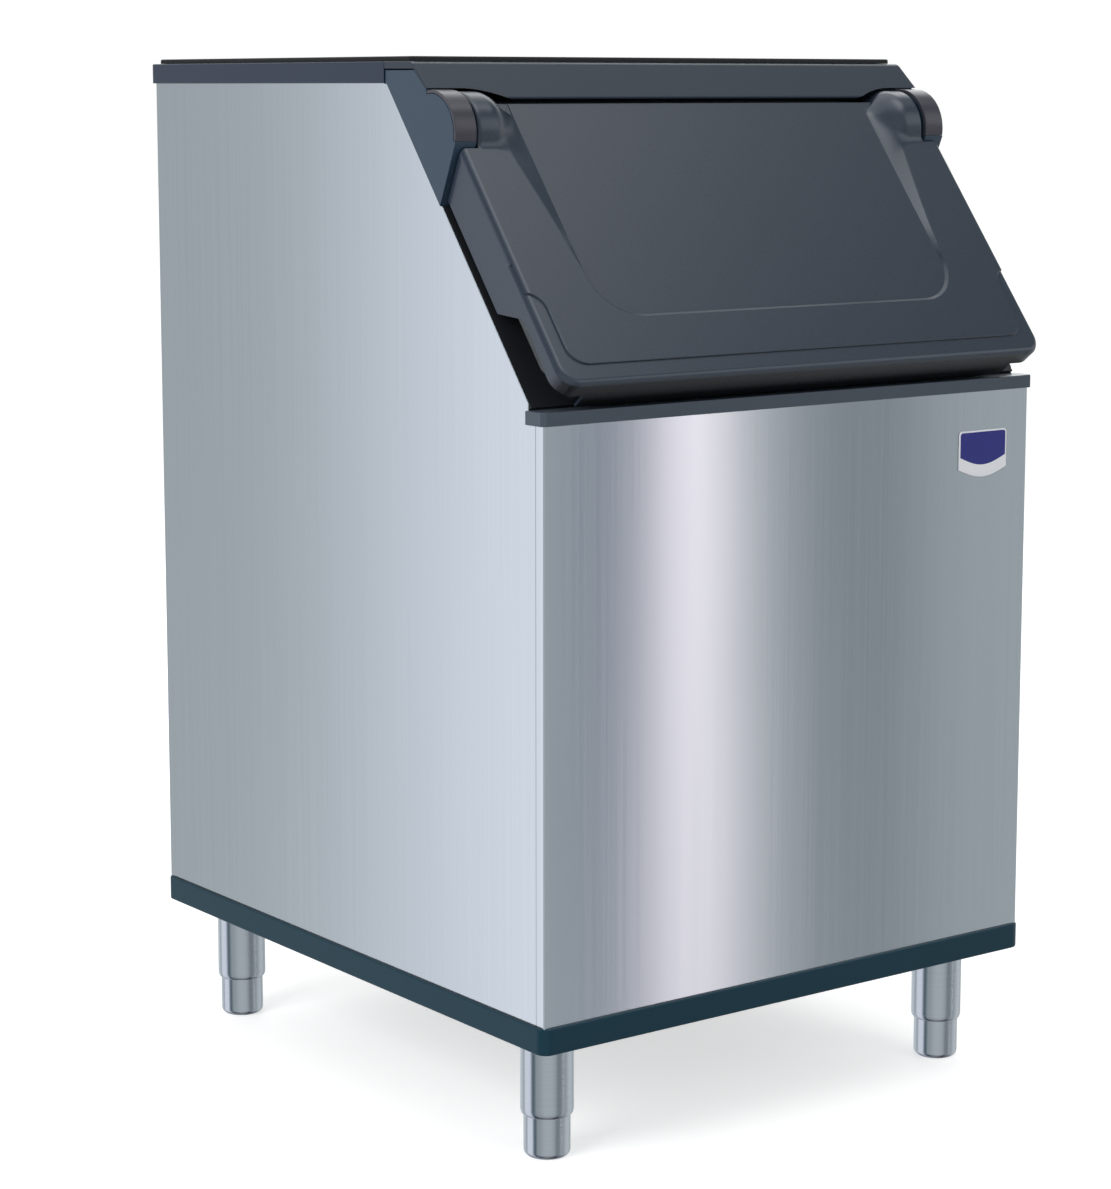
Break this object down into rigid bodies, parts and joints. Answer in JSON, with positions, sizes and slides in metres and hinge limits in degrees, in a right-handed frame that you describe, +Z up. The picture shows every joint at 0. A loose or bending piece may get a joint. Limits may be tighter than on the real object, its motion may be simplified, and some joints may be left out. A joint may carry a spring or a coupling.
{
  "type": "ice storage bin",
  "caption": "Insulated steel ice storage bin on levelling legs, with a sloped lift-up plastic door under a hood, an open top for an ice machine and a moulded liner with a drain.",
  "frame": {"origin": "on the floor, under the middle of the bin's outer box", "axes": "+Z up, the door faces -Y, +X to the right when seen from the front"},
  "size_m": [0.762, 0.8905, 1.28],
  "materials": {
    "brushed_steel": "satin stainless sheet, brushed along the height",
    "galvanised_steel": "dull zinc-coated sheet",
    "leg_steel": "satin stainless tube",
    "trim_moulding": "dark blue-grey, fine moulded grain",
    "base_moulding": "dark blue-green, fine moulded grain",
    "door_moulding": "slate grey, satin, fine moulded grain",
    "knuckle_moulding": "warm dark grey, satin",
    "gasket_rubber": "black foam rubber",
    "liner_plastic": "pale grey food-grade moulding, slight gloss",
    "foam": "rigid foam, hidden",
    "bush_nylon": "natural nylon",
    "drain_plastic": "black moulded plastic",
    "badge_plastic": "blue enamel field in a thin bright rim, no lettering"
  },
  "bodies": {
    "cabinet": {"base_trim": "base_moulding", "base_pan": "galvanised_steel", "leg_plate_front_left": "galvanised_steel", "leg_plate_front_right": "galvanised_steel", "leg_plate_rear_left": "galvanised_steel", "leg_plate_rear_right": "galvanised_steel", "leg_sleeve_front_left": "leg_steel", "leg_sleeve_front_right": "leg_steel", "leg_sleeve_rear_left": "leg_steel", "leg_sleeve_rear_right": "leg_steel", "left_side_panel": "brushed_steel", "right_side_panel": "brushed_steel", "front_panel": "brushed_steel", "rear_panel": "galvanised_steel", "insulation": "foam", "liner": "liner_plastic", "access_frame": "trim_moulding", "front_rail": "trim_moulding", "top_trim": "trim_moulding", "top_gasket": "gasket_rubber", "hood": "door_moulding", "left_cheek": "trim_moulding", "right_cheek": "trim_moulding", "left_knuckle_cover": "knuckle_moulding", "right_knuckle_cover": "knuckle_moulding", "left_hinge_pin": "leg_steel", "right_hinge_pin": "leg_steel", "left_bumper": "gasket_rubber", "right_bumper": "gasket_rubber", "drain_fitting": "drain_plastic", "drain_nut": "drain_plastic", "badge_plate": "badge_plastic"},
    "door": {"door_shell": "door_moulding", "door_inner_panel": "trim_moulding", "left_hinge_bush": "bush_nylon", "right_hinge_bush": "bush_nylon"},
    "front_left_foot": {"foot_front_left": "leg_steel"},
    "front_right_foot": {"foot_front_right": "leg_steel"},
    "rear_left_foot": {"foot_rear_left": "leg_steel"},
    "rear_right_foot": {"foot_rear_right": "leg_steel"}
  },
  "joints": [
    {"name": "door_hinge", "type": "hinge", "parent": "cabinet", "child": "door", "pos_m": [0, -0.20064, 1.19155], "axis": [-1, 0, 0], "range_deg": [0, 84]},
    {"name": "front_left_foot_level", "type": "slide", "parent": "cabinet", "child": "front_left_foot", "axis": [0, 0, 1], "range_m": [-0.03, 0.02]},
    {"name": "front_right_foot_level", "type": "slide", "parent": "cabinet", "child": "front_right_foot", "axis": [0, 0, 1], "range_m": [-0.03, 0.02]},
    {"name": "rear_left_foot_level", "type": "slide", "parent": "cabinet", "child": "rear_left_foot", "axis": [0, 0, 1], "range_m": [-0.03, 0.02]},
    {"name": "rear_right_foot_level", "type": "slide", "parent": "cabinet", "child": "rear_right_foot", "axis": [0, 0, 1], "range_m": [-0.03, 0.02]}
  ]
}
